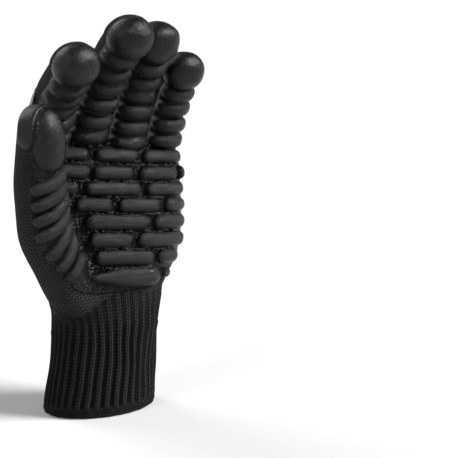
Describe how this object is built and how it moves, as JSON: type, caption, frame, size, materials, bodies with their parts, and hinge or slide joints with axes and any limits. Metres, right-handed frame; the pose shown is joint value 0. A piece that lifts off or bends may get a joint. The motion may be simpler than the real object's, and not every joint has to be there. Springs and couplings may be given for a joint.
{
  "type": "anti vibration glove",
  "caption": "Left-hand knitted work glove with cushioned rubber ribs on palm and fingers, fingertip pads, a thumb strip and a knuckle pad, open at a ribbed cuff.",
  "frame": {"origin": "centre of the cuff's opening, where the wrist goes in", "axes": "+Z from the cuff to the fingertips, -Y out of the palm, -X to the thumb's side"},
  "size_m": [0.1305, 0.0897, 0.2408],
  "materials": {
    "knit": "matte black stitch knit, ribbed on the cuff",
    "rubber": "satin black dipped foam rubber, finely pebbled",
    "film": "glossy black rubber film over knit"
  },
  "bodies": {
    "root": {"cuff_hem": "knit", "cuff_ribbed": "knit", "index_knit": "knit", "middle_knit": "knit", "ring_knit": "knit", "little_knit": "knit", "thumb_knit": "knit", "palm_knit": "knit", "index_tip_pad": "rubber", "middle_tip_pad": "rubber", "ring_tip_pad": "rubber", "little_tip_pad": "rubber", "thumb_tip_pad": "rubber", "palm_rib_1a": "rubber", "palm_rib_1b": "rubber", "palm_rib_1c": "rubber", "palm_rib_2a": "rubber", "palm_rib_2b": "rubber", "palm_rib_2c": "rubber", "palm_rib_2d": "rubber", "palm_rib_3a": "rubber", "palm_rib_3b": "rubber", "palm_rib_3c": "rubber", "palm_rib_4a": "rubber", "palm_rib_4b": "rubber", "palm_rib_4c": "rubber", "palm_rib_5a": "rubber", "palm_rib_5b": "rubber", "palm_rib_6a": "rubber", "palm_rib_6b": "rubber", "palm_rib_7a": "rubber", "palm_rib_7b": "rubber", "palm_rib_8a": "rubber", "palm_rib_9a": "rubber", "thumb_rib_1": "rubber", "thumb_rib_2": "rubber", "thumb_rib_3": "rubber", "thumb_rib_4": "rubber", "thumb_rib_5": "rubber", "thumb_rib_6": "rubber", "thumb_rib_7": "rubber", "crotch_strip": "rubber", "index_grip": "rubber", "middle_grip": "rubber", "ring_grip": "rubber", "little_grip": "rubber", "palm_film": "film", "knuckle_pad": "rubber"}
  },
  "joints": []
}
